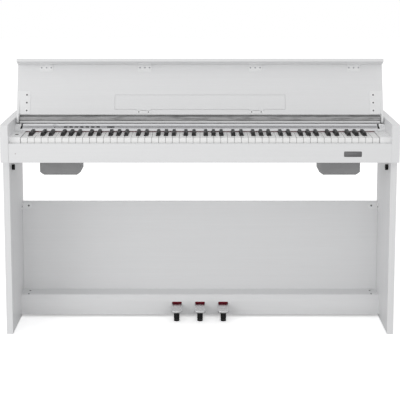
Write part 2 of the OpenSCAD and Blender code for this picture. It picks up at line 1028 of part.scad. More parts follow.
// Where the arm's front edge leaves the lid's inner face, and where it bends to
// pass over the cover
arm_root = [lid_rear - 60, lid_inner - leaf_t / 2];
arm_knee = [deck_y - 8, ridge_z + 2.4];
function cheek_points() = concat(
    [arm_root, arm_knee],
    arc_points(arm_reach, 256, 334, 8),
    [
        [lid_pivot_y + 4, lid_pivot_z - 3],
        [lid_pivot_y - 3, lid_pivot_z + 4],
        [lid_rear + 3, lid_inner + 3],
        [lid_rear + 1.5, lid_inner - leaf_t / 2]
    ]
);
function rim_points() = concat(
    [arm_root, arm_knee],
    arc_points(arm_reach, 256, 334, 8),
    arc_points(arm_reach - 2, 334, 256, 8),
    [arm_knee + [1.2, 2.2], arm_root + [10, 0]]
);

// Lid, with the music ledge's recess and the notches for its two hinges
module lid_panel() {
    edge_r = 5;
    color(white_paint)
        from_front()
            opened()
                difference() {
                    along_x(-lid_x, lid_x) {
                        translate([lid_front + edge_r, lid_inner])
                            square([lid_rear - lid_front - edge_r, lid_t]);
                        translate([lid_front, lid_inner])
                            square([lid_rear - lid_front, lid_t - edge_r]);
                        translate([lid_front + edge_r, case_top - edge_r])
                            circle(edge_r);
                    }
                    board(-ledge_w / 2 - ledge_gap, ledge_w / 2 + ledge_gap,
                        ledge_back - ledge_len - ledge_gap, ledge_back + ledge_gap,
                        lid_inner - lap, lid_inner + ledge_t + ledge_gap);
                    for (side = [-1, 1])
                        board(side * ledge_hinge_x - ledge_hinge_w / 2 - ledge_gap,
                            side * ledge_hinge_x + ledge_hinge_w / 2 + ledge_gap,
                            ledge_back - lap, knuckle_y + knuckle_r + ledge_gap,
                            lid_inner - lap, knuckle_z + knuckle_r + ledge_gap);
                }
}

module lid_lip() {
    edge_r = 3;
    color(white_paint)
        from_front()
            opened()
                along_x(-lid_x, lid_x) {
                    translate([lid_front, lid_inner - lip_len + edge_r])
                        square([lid_t, lip_len - edge_r]);
                    translate([lid_front + edge_r, lid_inner - lip_len])
                        square([lid_t - 2 * edge_r, edge_r + lap]);
                    for (y = [lid_front + edge_r, lid_front + lid_t - edge_r])
                        translate([y, lid_inner - lip_len + edge_r])
                            circle(edge_r);
                }
}

// Angle brackets that hold the lip to the lid, three screw holes in each leaf
module lip_brackets() {
    bracket_l = 46;
    leaf_l = 25;
    t = 1.6;
    places = [-lid_x + 102, -197, 197, lid_x - 102];
    color(white_paint)
        from_front()
            opened()
                for (x = places) {
                    difference() {
                        board(x - bracket_l / 2, x + bracket_l / 2, lid_front + lid_t,
                            lid_front + lid_t + leaf_l, lid_inner - t, lid_inner);
                        for (i = [-1 : 1])
                            translate([x + i * 17, lid_front + lid_t + 11, lid_inner - t - lap])
                                cylinder(h = t + 2 * lap, r = 2);
                    }
                    board(x - bracket_l / 2, x + bracket_l / 2, lid_front + lid_t,
                        lid_front + lid_t + t, lid_inner - 24, lid_inner - t + 0.1);
                }
}

// Fixed half of the ledge's two hinges: a leaf, two knuckles and the pin
module ledge_hinges() {
    middle = ledge_hinge_w / 3;
    color(white_paint)
        from_front()
            opened()
                for (side = [-1, 1])
                    translate([side * ledge_hinge_x, 0, 0]) {
                        board(-ledge_hinge_w / 2, ledge_hinge_w / 2, knuckle_y + knuckle_r + 1,
                            knuckle_y + 11, lid_inner - 1, lid_inner);
                        for (end = [-1, 1])
                            along_x(end > 0 ? middle / 2 + 0.3 : -ledge_hinge_w / 2,
                                end > 0 ? ledge_hinge_w / 2 : -middle / 2 - 0.3) {
                                translate([knuckle_y, knuckle_z])
                                    circle(knuckle_r);
                                translate([knuckle_y, lid_inner - 1])
                                    square([knuckle_r + 1.2, 1]);
                            }
                        along_x(-ledge_hinge_w / 2, ledge_hinge_w / 2)
                            translate([knuckle_y, knuckle_z])
                                circle(knuckle_pin_r);
                    }
}

// Folding music ledge with its half of the hinges
module music_ledge() {
    middle = ledge_hinge_w / 3;
    color(white_paint)
        from_front()
            opened() {
                board(-ledge_w / 2, ledge_w / 2, ledge_back - ledge_len, ledge_back,
                    lid_inner, lid_inner + ledge_t);
                for (side = [-1, 1])
                    translate([side * ledge_hinge_x, 0, 0])
                        along_x(-middle / 2, middle / 2)
                            difference() {
                                union() {
                                    translate([knuckle_y, knuckle_z])
                                        circle(knuckle_r);
                                    translate([ledge_back - 9, lid_inner - 1])
                                        square([knuckle_y - ledge_back + 8, 1]);
                                }
                                translate([knuckle_y, knuckle_z])
                                    circle(knuckle_pin_r + knuckle_pin_gap);
                            }
            }
}

// Recessed plate with the power inlet and two jacks, set behind the rear board
module jack_panel() {
    plate = [164, 54, 2.5];
    collar_t = 2;
    color(black_plastic)
        from_front()
            translate([jack_x, rear_y, jack_z])
                rotate([-90, 0, 0])
                    difference() {
                        union() {
                            translate([-plate.x / 2, -plate.y / 2, -plate.z])
                                cube(plate);
                            for (x = jack_places())
                                translate([x, 0, -jack_depth + collar_t])
                                    cylinder(h = jack_depth, r = jack_r + 2.2);
                            translate([-52, 0, -jack_depth + collar_t])
                                cylinder(h = jack_depth, r = 5.6);
                        }
                        for (x = jack_places())
                            translate([x, 0, -jack_depth + collar_t - lap])
                                cylinder(h = jack_depth + 2 * lap, r = jack_r);
                        translate([-52, 0, -8])
                            difference() {
                                cylinder(h = 20, r = 3.2);
                                cylinder(h = 9, r = 1);
                            }
                    }
}

function jack_places() = [0, 28];

// Speaker pod section with its lower edges cut off at a slope
module pod_section(inset) {
    x = pod_w / 2 - inset;
    z0 = bed_z - pod_h + inset;
    polygon([
        [-x, bed_z],
        [-x, z0 + pod_cut_z],
        [-x + pod_cut_x, z0],
        [x - pod_cut_x, z0],
        [x, z0 + pod_cut_z],
        [x, bed_z]
    ]);
}

// Side view of a pod, its lower front and rear edges eased
module pod_side(inset) {
    z0 = bed_z - pod_h + inset;
    ease = 5;
    polygon([
        [pod_y + inset, bed_z],
        [pod_y + inset, z0 + ease],
        [pod_y + inset + ease, z0],
        [pod_y + pod_d - inset - ease, z0],
        [pod_y + pod_d - inset, z0 + ease],
        [pod_y + pod_d - inset, bed_z]
    ]);
}

module pod_form(inset) {
    intersection() {
        along_x(-pod_w / 2, pod_w / 2)
            pod_side(inset);
        along_y(pod_y, pod_y + pod_d)
            pod_section(inset);
    }
}

function pod_mid_y() = pod_y + pod_d / 2;
grille_r = cone_r + 5;
grille_t = 2;

module speaker_pods() {
    color(pod_grey)
        from_front()
            for (side = [-1, 1])
                translate([side * pod_x, 0, 0])
                    difference() {
                        pod_form(0);
                        pod_form(pod_wall);
                        translate([0, pod_mid_y(), bed_z - pod_h - lap]) {
                            cylinder(h = pod_wall + 2 * lap, r = cone_r);
                            cylinder(h = grille_t + lap, r = grille_r);
                        }
                    }
}

// Round grille with straight slots, let into the pod's underside
module speaker_grilles() {
    slot = 3.4;
    pitch = 7;
    rows = floor(cone_r / pitch);
    color(black_plastic)
        from_front()
            for (side = [-1, 1])
                translate([side * pod_x, pod_mid_y(), bed_z - pod_h])
                    difference() {
                        cylinder(h = grille_t, r = grille_r - 0.2);
                        for (i = [-rows : rows])
                            translate([-slot_half(i * pitch), i * pitch - slot / 2, -lap])
                                cube([2 * slot_half(i * pitch), slot, grille_t + 2 * lap]);
                    }
}

function slot_half(offset) = sqrt(pow(cone_r, 2) - pow(offset, 2)) * 0.94;

// Downward speaker: basket rim, cone with its dust cap, and magnet
module speaker_drivers() {
    rim_r = cone_r + 7;
    color(dull_metal)
        from_front()
            for (side = [-1, 1])
                translate([side * pod_x, pod_mid_y(), bed_z - pod_h + pod_wall])
                    rotate_extrude($fn = 64)
                        polygon([
                            [cone_r - 3, 0],
                            [rim_r, 0],
                            [rim_r, 4],
                            [cone_r - 3, 5],
                            [22, 24],
                            [26, 24],
                            [26, 40],
                            [0, 40],
                            [0, 13],
                            [8, 15],
                            [11, 18],
                            [cone_r - 5, 3]
                        ]);
}

// Modesty panel across the stand, down behind the pedal box
module modesty_panel() {
    color(white_paint)
        from_front()
            board(-leg_x, leg_x, modesty_y, modesty_y + modesty_t, box_lift, modesty_top);
}

// Round-ended angle brackets in the panel's upper front corners
module corner_brackets() {
    t = 2;
    leaf_l = 36;
    leaf_h = 24;
    screw_in = 24;
    z = modesty_top - 16;
    color(white_paint)
        from_front()
            both_ends() {
                translate([leg_x, modesty_y, z])
                    rotate([90, 0, 0])
                        linear_extrude(t)
                            difference() {
                                union() {
                                    translate([-leaf_l + leaf_h / 2, -leaf_h / 2])
                                        square([leaf_l - leaf_h / 2, leaf_h]);
                                    translate([-leaf_l + leaf_h / 2, 0])
                                        circle(leaf_h / 2);
                                }
                                translate([-screw_in, 0])
                                    circle(2.2);
                            }
                translate([leg_x - t, modesty_y, z])
                    rotate([90, 0, -90])
                        mirror([0, 0, 1])
                            linear_extrude(t)
                                difference() {
                                    union() {
                                        translate([0, -leaf_h / 2])
                                            square([leaf_l - leaf_h / 2, leaf_h]);
                                        translate([leaf_l - leaf_h / 2, 0])
                                            circle(leaf_h / 2);
                                    }
                                    translate([screw_in, 0])
                                        circle(2.2);
                                }
            }
}

function pedal_places() = [-pedal_pitch, 0, pedal_pitch];

// Pedal box: a front wall with a sloping upper edge and a top, closed at the
// ends, with one slot for each pedal
module pedal_box() {
    color(white_paint)
        from_front()
            difference() {
                along_x(-leg_x, leg_x)
                    polygon([
                        [box_y, box_lift],
                        [box_y, box_top - bevel_h],
                        [box_y + bevel_d, box_top],
                        [modesty_y, box_top],
                        [modesty_y, box_lift]
                    ]);
                along_x(-leg_x + box_wall, leg_x - box_wall)
                    polygon([
                        [box_y + box_wall, box_lift - lap],
                        [box_y + box_wall, box_top - bevel_h - 2],
                        [box_y + bevel_d + 6, box_top - box_wall],
                        [modesty_y + lap, box_top - box_wall],
                        [modesty_y + lap, box_lift - lap]
                    ]);
                for (x = pedal_places())
                    translate([x, 0, 0])
                        along_y(box_y - lap, box_y + box_wall + lap)
                            slot_front(slot_bottom);
            }
}

// Front view of a pedal's slot from height z0 up, its upper corners cut off
module slot_front(z0) {
    x = pedal_root_w / 2 + slot_gap;
    z1 = pedal_top + felt_t + 1;
    polygon([
        [-x, z0],
        [x, z0],
        [x, z1 - slot_bevel],
        [x - slot_bevel, z1],
        [-x + slot_bevel, z1],
        [-x, z1 - slot_bevel]
    ]);
}

// Steel tray under the box, with a tongue out to each post
module pedal_tray() {
    tongue_r = 9.5;
    color(black_plastic)
        from_front()
            difference() {
                union() {
                    board(-leg_x + box_wall + 1, leg_x - box_wall - 1, box_y + box_wall + 1,
                        modesty_y - 1, box_lift, box_lift + tray_t);
                    for (x = pedal_places()) {
                        board(x - 7, x + 7, post_y, box_y + box_wall + 30,
                            box_lift - tray_t, box_lift);
                        translate([x, post_y, box_lift - tray_t])
                            cylinder(h = tray_t, r = tongue_r);
                    }
                }
                for (x = pedal_places())
                    translate([x, post_y, box_lift - tray_t - lap])
                        cylinder(h = tray_t + 2 * lap, r = neck_r + neck_gap);
            }
}

// Rubber posts under the pedals, each with a neck that the tray's tongue holds
module pedal_posts() {
    r = post_d / 2;
    neck_z = box_lift - tray_t - neck_gap;
    color(black_plastic)
        from_front()
            for (x = pedal_places())
                translate([x, post_y, 0])
                    rotate_extrude()
                        polygon([
                            [0, 0],
                            [r - 1.5, 0],
                            [r, 1.5],
                            [r, neck_z],
                            [neck_r, neck_z],
                            [neck_r, box_lift + neck_gap],
                            [r, box_lift + neck_gap],
                            [r, post_top - 2],
                            [r - 2, post_top],
                            [0, post_top]
                        ]);
}

// Felt linings above the pedals where they leave the box
module pedal_felts() {
    color(felt_red)
        from_front()
            for (x = pedal_places())
                translate([x, 0, 0])
                    along_y(box_y - 0.6, box_y + box_wall)
                        slot_front(pedal_top + 0.8);
}

// Saddle for each pedal: a foot on the tray, two ears and the pivot pin
module pedal_saddles() {
    ear_t = 3;
    ear_x = lever_w / 2 + 0.6;
    foot_z0 = box_lift + tray_t;
    color(dull_metal)
        from_front()
            for (x = pedal_places())
                translate([x, 0, 0]) {
                    board(-ear_x - ear_t - 8, ear_x + ear_t + 8, pedal_pivot_y - 13,
                        pedal_pivot_y + 13, foot_z0, foot_z0 + 3);
                    for (side = [-1, 1])
                        along_x(side > 0 ? ear_x : -ear_x - ear_t,
                            side > 0 ? ear_x + ear_t : -ear_x) {
                            translate([pedal_pivot_y - 9, foot_z0])
                                square([18, pedal_pivot_z - foot_z0]);
                            translate([pedal_pivot_y, pedal_pivot_z])
                                circle(9);
                        }
                    along_x(-ear_x - ear_t - 2, ear_x + ear_t + 2)
                        translate([pedal_pivot_y, pedal_pivot_z])
                            circle(pedal_pin_r);
                }
}

// Pedal plan, from its round tip back to the lever inside the box
module pedal_plan() {
    tip_y = box_y - pedal_len;
    tip_r = pedal_w / 2 * 1.35;
    shoulder_y = tip_y + 32;
    intersection() {
        polygon([
            [-pedal_w / 2, tip_y],
            [pedal_w / 2, tip_y],
            [pedal_w / 2, shoulder_y],
            [pedal_root_w / 2, box_y],
            [pedal_root_w / 2, box_y + box_wall + 6],
            [lever_w / 2, box_y + box_wall + 14],
            [lever_w / 2, pedal_pivot_y + 14],
            [-lever_w / 2, pedal_pivot_y + 14],
            [-lever_w / 2, box_y + box_wall + 14],
            [-pedal_root_w / 2, box_y + box_wall + 6],
            [-pedal_root_w / 2, box_y],
            [-pedal_w / 2, shoulder_y]
        ]);
        union() {
            translate([0, tip_y + tip_r])
                circle(tip_r, $fn = 96);
            translate([-pedal_w, tip_y + tip_r * 0.42])
                square([2 * pedal_w, pedal_len * 3]);
        }
    }
}

// Pedal side view: a rounded nose, which the plan trims, and the pivot bore
module pedal_side() {
    nose_r = pedal_t / 2;
    tip_y = box_y - pedal_len - 1.5;
    difference() {
        union() {
            translate([tip_y + nose_r, pedal_z])
                square([pedal_pivot_y + 14 - tip_y - nose_r, pedal_t]);
            translate([tip_y + nose_r, pedal_z + nose_r])
                circle(nose_r);
        }
        translate([pedal_pivot_y, pedal_pivot_z])
            circle(pedal_pin_r + pedal_pin_gap);
    }
}

module pedal(x) {
    color(bright_metal)
        from_front()
            translate([x, 0, 0])
                intersection() {
                    translate([0, 0, pedal_z - lap])
                        linear_extrude(pedal_t + 2 * lap)
                            pedal_plan();
                    along_x(-pedal_w, pedal_w)
                        pedal_side();
                }
}

mirror([1, 0, 0]) side_panel();  // left_side_panel
side_panel();  // right_side_panel
mirror([1, 0, 0]) leg();  // left_leg
leg();  // right_leg
key_bed();
key_slip();
rear_board();
top_board();
deck_rail();
key_blocks();
key_frame();
key_felt();
control_strip();
strip_end_caps();
circuit_board();
grille_strip();
hinge_plates();
jack_panel();
speaker_pods();
speaker_drivers();
speaker_grilles();
leg_bolts();
modesty_panel();
corner_brackets();
pedal_box();
pedal_tray();
pedal_felts();
pedal_saddles();
pedal_posts();
lid_panel();
lid_lip();
lid_hinge_arms();
lip_brackets();
ledge_hinges();
music_ledge();
pedal(-pedal_pitch);  // pedal_left
pedal(0);  // pedal_middle
pedal(pedal_pitch);  // pedal_right
volume_knob();
power_button();
value_rocker();
panel_button(0);  // button_1
panel_button(1);  // button_2
panel_button(2);  // button_3
panel_button(3);  // button_4
panel_button(4);  // button_5
panel_button(5);  // button_6
panel_button(6);  // button_7
white_keys_of(0);  // keys_c
black_keys_of(0);  // keys_c_sharp
white_keys_of(1);  // keys_d
black_keys_of(1);  // keys_d_sharp
white_keys_of(2);  // keys_e
white_keys_of(3);  // keys_f
black_keys_of(3);  // keys_f_sharp
white_keys_of(4);  // keys_g
black_keys_of(4);  // keys_g_sharp
white_keys_of(5);  // keys_a
black_keys_of(5);  // keys_a_sharp
white_keys_of(6);  // keys_b
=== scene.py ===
import json
import math

import bmesh
import bpy
import numpy as np
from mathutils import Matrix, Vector


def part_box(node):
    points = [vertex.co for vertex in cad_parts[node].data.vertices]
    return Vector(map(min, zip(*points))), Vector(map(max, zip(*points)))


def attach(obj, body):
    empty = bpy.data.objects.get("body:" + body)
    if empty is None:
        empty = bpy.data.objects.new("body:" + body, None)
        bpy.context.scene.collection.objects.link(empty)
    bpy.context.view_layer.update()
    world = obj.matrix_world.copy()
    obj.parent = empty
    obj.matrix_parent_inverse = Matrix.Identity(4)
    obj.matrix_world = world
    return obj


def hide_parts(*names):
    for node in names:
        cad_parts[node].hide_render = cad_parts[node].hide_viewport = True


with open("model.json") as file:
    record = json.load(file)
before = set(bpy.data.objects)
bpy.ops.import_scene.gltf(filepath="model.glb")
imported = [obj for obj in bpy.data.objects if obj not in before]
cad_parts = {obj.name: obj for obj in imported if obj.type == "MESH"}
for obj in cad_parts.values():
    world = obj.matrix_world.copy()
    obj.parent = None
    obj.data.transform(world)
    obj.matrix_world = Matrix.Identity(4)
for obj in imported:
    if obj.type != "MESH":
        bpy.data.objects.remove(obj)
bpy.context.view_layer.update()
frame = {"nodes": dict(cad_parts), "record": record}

MM = 0.001
CASE_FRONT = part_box("left_side_panel")[0].y
WHITE_PITCH = 23.6 * MM
SIDES = np.array([-1.0, 1.0])
NODES = frame["nodes"]
BEHAVIOUR = frame["record"]["behaviour"]
BODY_OF = {node: body for body, members in BEHAVIOUR["bodies"].items() for node in members}
JOINT_OF = {joint["child"]: joint for joint in BEHAVIOUR["joints"]}


# ---------------------------------------------------------------- finishes

class Finish:
    """A Principled material. Helpers add the patterns that colour, roughen and
    emboss it; a value that is the same all over goes on the shader's own socket."""

    def __init__(self, name, colour, roughness, **sockets):
        self.material = bpy.data.materials.new(name)
        self.material.use_nodes = True
        self.nodes = self.material.node_tree.nodes
        self.links = self.material.node_tree.links
        self.shader = self.nodes["Principled BSDF"]
        self.colour = colour
        self.set("Base Color", (*colour, 1))
        self.set("Roughness", roughness)
        for socket, value in sockets.items():
            self.set(socket.replace("_", " "), value)

    def set(self, socket, value):
        """Sets one value on the shader's own socket."""
        self.shader.inputs[socket].default_value = value

    def link(self, source, target):
        """Joins an output to an input and hands the output on."""
        self.links.new(source, target)
        return source

    def place(self, stretch=(1, 1, 1), centre=(0, 0, 0), turn=(0, 0, 0)):
        """Object coordinates, moved to a centre, turned and stretched."""
        coords = self.nodes.new("ShaderNodeTexCoord").outputs["Object"]
        move = self.nodes.new("ShaderNodeMapping")
        move.vector_type = "TEXTURE"
        move.inputs["Location"].default_value = centre
        move.inputs["Rotation"].default_value = turn
        self.link(coords, move.inputs["Vector"])
        scale = self.nodes.new("ShaderNodeMapping")
        scale.inputs["Scale"].default_value = stretch
        self.link(move.outputs["Vector"], scale.inputs["Vector"])
        return scale.outputs["Vector"]

    def noise(self, where, scale, detail=2.0, roughness=0.5, distortion=0.0):
        """Cloudy noise."""
        node = self.nodes.new("ShaderNodeTexNoise")
        self.link(where, node.inputs["Vector"])
        node.inputs["Scale"].default_value = scale
        node.inputs["Detail"].default_value = detail
        node.inputs["Roughness"].default_value = roughness
        node.inputs["Distortion"].default_value = distortion
        return node.outputs["Fac"]

    def cells(self, where, scale, feature="F1", output="Distance"):
        """A pattern of irregular cells."""
        node = self.nodes.new("ShaderNodeTexVoronoi")
        node.feature = feature
        self.link(where, node.inputs["Vector"])
        node.inputs["Scale"].default_value = scale
        return node.outputs[output]

    def rings(self, where, scale):
        """Rings round the Z axis."""
        node = self.nodes.new("ShaderNodeTexWave")
        node.wave_type = "RINGS"
        node.rings_direction = "Z"
        self.link(where, node.inputs["Vector"])
        node.inputs["Scale"].default_value = scale
        return node.outputs["Fac"]

    def span(self, value, low, high, start=0.0, end=1.0):
        """Maps a pattern's start-to-end to a low-to-high number."""
        node = self.nodes.new("ShaderNodeMapRange")
        self.link(value, node.inputs["Value"])
        node.inputs["From Min"].default_value = start
        node.inputs["From Max"].default_value = end
        node.inputs["To Min"].default_value = low
        node.inputs["To Max"].default_value = high
        return node.outputs["Result"]

    def coordinate(self, axis):
        """One Object coordinate in metres: axis 0, 1 or 2."""
        parts = self.nodes.new("ShaderNodeSeparateXYZ")
        self.link(self.place(), parts.inputs["Vector"])
        return parts.outputs[axis]

    def product(self, first, second):
        """Two patterns multiplied."""
        node = self.nodes.new("ShaderNodeMath")
        node.operation = "MULTIPLY"
        self.link(first, node.inputs[0])
        self.link(second, node.inputs[1])
        return node.outputs["Value"]

    def bands(self, value, levels):
        """A smooth curve of levels against a pattern, as (position, level) pairs."""
        ramp = self.nodes.new("ShaderNodeValToRGB")
        stops = ramp.color_ramp.elements
        for stop, (position, level) in zip(stops, (levels[0], levels[-1])):
            stop.position, stop.color = position, (level, level, level, 1)
        for position, level in levels[1:-1]:
            stops.new(position).color = (level, level, level, 1)
        self.link(value, ramp.inputs["Fac"])
        return ramp.outputs["Color"]

    def sum(self, first, second, share):
        """Two patterns mixed, with a share of the second."""
        node = self.nodes.new("ShaderNodeMix")
        node.data_type = "FLOAT"
        node.inputs["Factor"].default_value = share
        self.link(first, node.inputs["A"])
        self.link(second, node.inputs["B"])
        return node.outputs["Result"]

    def tint(self, value, dark, light, start=0.25, end=0.75):
        """Colours the surface from dark to light along a pattern."""
        ramp = self.nodes.new("ShaderNodeValToRGB")
        ramp.color_ramp.elements[0].position = start
        ramp.color_ramp.elements[1].position = end
        ramp.color_ramp.elements[0].color = (*dark, 1)
        ramp.color_ramp.elements[1].color = (*light, 1)
        self.link(value, ramp.inputs["Fac"])
        self.link(ramp.outputs["Color"], self.shader.inputs["Base Color"])
        return self

    def shade(self, value, amount, start=0.25, end=0.75):
        """Tints the finish's own colour a share darker and lighter."""
        dark = tuple(c * (1 - amount) for c in self.colour)
        light = tuple(min(1, c * (1 + amount)) for c in self.colour)
        return self.tint(value, dark, light, start, end)

    def polish(self, value, low, high):
        """Takes the roughness from low to high along a pattern."""
        self.link(self.span(value, low, high, 0.25, 0.75), self.shader.inputs["Roughness"])
        return self

    def emboss(self, value, strength, depth):
        """Raises the surface along a pattern; depth is in metres."""
        bump = self.nodes.new("ShaderNodeBump")
        bump.inputs["Strength"].default_value = strength
        bump.inputs["Distance"].default_value = depth
        self.link(value, bump.inputs["Height"])
        self.link(bump.outputs["Normal"], self.shader.inputs["Normal"])
        return self


def foil_on_board(name, grain, depth=0.022):
    """Satin white foil with a faint pressed wood grain that runs along one axis."""
    f = Finish(name, (0.80, 0.803, 0.81), 0.4, Specular_IOR_Level=0.45)
    fine = [620.0] * 3
    fine[grain] = 14.0
    broad = [95.0] * 3
    broad[grain] = 1.6
    pores = f.noise(f.place(tuple(fine)), 1.0, detail=3, roughness=0.6, distortion=0.4)
    streaks = f.noise(f.place(tuple(broad)), 1.0, detail=2, distortion=0.6)
    f.shade(f.sum(pores, streaks, 0.45), depth)
    f.polish(pores, 0.34, 0.46)
    return f.emboss(pores, 0.35, 0.00012).material


def key_gloss():
    """Moulded key covers with a soft shine, a little smudged by fingers. The covers end at
    the rounded edges; the keys' sides, in the gaps, are painted grey as the shade that falls
    in the gaps."""
    f = Finish("key_gloss", (0.93, 0.93, 0.925), 0.3, Specular_IOR_Level=0.22)
    smudge = f.noise(f.place((1, 0.4, 1)), 38.0, detail=3)
    from_gap = f.nodes.new("ShaderNodeMath")
    from_gap.operation = "PINGPONG"
    f.link(f.coordinate(0), from_gap.inputs[0])
    from_gap.inputs[1].default_value = WHITE_PITCH / 2
    # painted shade: the keys' sides and eased edges next to each gap are darkened, standing
    # in for the shade in the gaps
    gap_shade_full_to, gap_shade_gone_at = 0.42 * MM, 0.78 * MM
    outside_gap_shade = f.span(from_gap.outputs["Value"], 0, 1, gap_shade_full_to, gap_shade_gone_at)
    unevenness = f.span(f.noise(f.place(), 9.0), 0.985, 1.0)
    f.tint(f.product(outside_gap_shade, unevenness), (0.3, 0.3, 0.295), f.colour, 0.0, 1.0)
    f.polish(smudge, 0.24, 0.38)
    return f.emboss(f.noise(f.place((1, 0.3, 1)), 240.0), 0.05, 0.0001).material


def key_satin():
    """Matt black sharps with a fine grain along them."""
    f = Finish("key_satin", (0.010, 0.0095, 0.010), 0.42, Specular_IOR_Level=0.3)
    grain = f.noise(f.place((900, 60, 900)), 1.0, detail=2)
    f.shade(f.noise(f.place(), 60.0), 0.25)
    f.polish(grain, 0.36, 0.5)
    return f.emboss(grain, 0.2, 0.00008).material


def moulded(name, colour, roughness=0.45, pitch=1500.0, relief=0.00008, **sockets):
    """Moulded plastic with a fine eroded texture."""
    f = Finish(name, colour, roughness, **sockets)
    grit = f.noise(f.place(), pitch, detail=2, roughness=0.6)
    f.shade(f.noise(f.place(), 22.0, detail=3), 0.05)
    f.polish(grit, roughness - 0.08, roughness + 0.1)
    return f.emboss(grit, 0.4, relief).material


def powder_coat():
    """White powder coat with a faint orange peel."""
    f = Finish("powder_coat", (0.84, 0.845, 0.85), 0.32)
    peel = f.noise(f.place(), 620.0, detail=1)
    f.shade(f.noise(f.place(), 30.0), 0.015)
    f.polish(peel, 0.26, 0.4)
    return f.emboss(peel, 0.25, 0.0002).material


def brushed_strip():
    """Satin anodised extrusion, brushed along its length."""
    f = Finish("brushed_strip", (0.62, 0.623, 0.635), 0.32, Metallic=1.0)
    lines = f.noise(f.place((6, 2400, 2400)), 1.0, detail=3, roughness=0.7)
    f.shade(lines, 0.08)
    f.polish(lines, 0.3, 0.44)
    return f.emboss(lines, 0.12, 0.00005).material


# (share of the strip's height, brightness), from its foot to its top; the dark foot and top
# edge are painted shade, under the lid and in the gap at the foot
GRILLE_SHADE_ZONES = [(0.0, 0.42), (0.14, 0.45), (0.22, 1.0), (0.7, 1.0), (0.8, 0.42), (1.0, 0.5)]


def mottled_grille():
    """Grey strip with long soft blotches; its rounded top edge and its foot are painted
    darker than the band between them, as the shade under the lid and in the gap at its foot."""
    f = Finish("mottled_grille", (0.3, 0.3, 0.305), 0.55, Specular_IOR_Level=0.35)
    lo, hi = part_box("grille_strip")
    blots = f.noise(f.place((16, 80, 120)), 1.0, detail=3, roughness=0.6, distortion=0.25)
    height = f.span(f.coordinate(2), 0, 1, lo.z, hi.z)
    mottling = f.span(blots, 0.58, 1.3, 0.34, 0.66)
    # the height bands paint shade on the strip's top edge and foot
    f.tint(f.product(f.bands(height, GRILLE_SHADE_ZONES), mottling), (0.0, 0.0, 0.0),
           (0.45, 0.45, 0.455), 0.0, 1.0)
    f.polish(blots, 0.48, 0.62)
    return f.emboss(f.noise(f.place(), 800.0), 0.2, 0.0001).material


def zinc_plate():
    """Bright zinc with a small spangle."""
    f = Finish("zinc_plate", (0.55, 0.56, 0.58), 0.35, Metallic=1.0)
    spangle = f.cells(f.place(), 160.0, output="Color")
    f.shade(f.noise(f.place(), 260.0, detail=3), 0.14)
    f.polish(spangle, 0.28, 0.42)
    return f.emboss(f.noise(f.place((60, 900, 900)), 1.0), 0.1, 0.00006).material


def polished_plate():
    """Polished plate, a little hazed where shoes rub it."""
    f = Finish("polished_plate", (0.66, 0.662, 0.668), 0.24, Metallic=1.0)
    wear = f.noise(f.place((1, 0.35, 1)), 70.0, detail=4)
    f.shade(wear, 0.03)
    f.polish(wear, 0.2, 0.32)
    return f.emboss(f.noise(f.place((1400, 120, 1400)), 1.0), 0.03, 0.00004).material


KNOB_TILT = math.radians(25.2)


def turned_knob():
    """Turned aluminium, with cutting rings round the tilted knob's own axis."""
    centre = sum(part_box("volume_knob"), Vector()) / 2
    f = Finish("turned_knob", (0.72, 0.725, 0.735), 0.34, Metallic=1.0)
    cuts = f.rings(f.place(centre=centre, turn=(KNOB_TILT, 0, 0)), 900.0)
    f.shade(cuts, 0.08)
    f.polish(cuts, 0.3, 0.42)
    return f.emboss(cuts, 0.15, 0.00004).material


def red_felt():
    """Dark red felt with matted fibres."""
    f = Finish("red_felt", (0.13, 0.007, 0.016), 0.95, Sheen_Weight=0.3,
               Sheen_Roughness=0.5, Specular_IOR_Level=0.1)
    f.set("Sheen Tint", (0.8, 0.35, 0.4, 1))
    fibres = f.noise(f.place(), 2600.0, detail=4, roughness=0.75, distortion=1.0)
    f.shade(f.sum(fibres, f.noise(f.place(), 180.0, detail=2), 0.4), 0.4)
    return f.emboss(fibres, 0.8, 0.0004).material


def post_rubber():
    """Matt black rubber with a gritty skin."""
    f = Finish("post_rubber", (0.008, 0.008, 0.0085), 0.6, Specular_IOR_Level=0.22)
    f.shade(f.noise(f.place(), 90.0, detail=3), 0.3)
    grit = f.noise(f.place(), 1300.0)
    f.polish(grit, 0.48, 0.66)
    return f.emboss(grit, 0.3, 0.0001).material


def speaker_paper():
    """Dark pressed paper pulp."""
    f = Finish("speaker_paper", (0.035, 0.035, 0.038), 0.7)
    pulp = f.noise(f.place(), 900.0, detail=4, roughness=0.7)
    f.shade(pulp, 0.4)
    return f.emboss(pulp, 0.6, 0.0002).material


def screw_steel():
    """Dark nickel on steel, scuffed round the recess."""
    f = Finish("screw_steel", (0.2, 0.2, 0.205), 0.4, Metallic=0.9)
    scuff = f.noise(f.place(), 1900.0, detail=3)
    f.shade(scuff, 0.35)
    f.polish(scuff, 0.32, 0.5)
    return f.emboss(scuff, 0.15, 0.00004).material


def seal_foam():
    """Dull black foam with open pores; on the groove piece it stands in for the shade in the
    groove.
    """
    f = Finish("seal_foam", (0.012, 0.012, 0.013), 0.9, Specular_IOR_Level=0.1)
    pores = f.cells(f.place(), 1400.0)
    f.shade(pores, 0.5, 0.1, 0.6)
    return f.emboss(pores, 0.6, 0.0002).material


def dark_lacquer():
    """Dark grey lacquered plate with fine upright brushing under the lacquer."""
    f = Finish("dark_lacquer", (0.13, 0.13, 0.133), 0.4, Metallic=0.3, Coat_Weight=0.3)
    lines = f.noise(f.place((2600, 60, 90)), 1.0, detail=2)
    f.shade(lines, 0.18)
    f.polish(lines, 0.34, 0.5)
    return f.emboss(lines, 0.1, 0.00003).material


def lamp_lens():
    """Unlit red lamp lens with a paler moulded middle."""
    f = Finish("lamp_lens", (0.30, 0.20, 0.19), 0.2, Specular_IOR_Level=0.6, Coat_Weight=0.6)
    swirl = f.noise(f.place(), 900.0, detail=1)
    f.shade(swirl, 0.2)
    f.polish(swirl, 0.15, 0.28)
    return f.emboss(swirl, 0.1, 0.00004).material


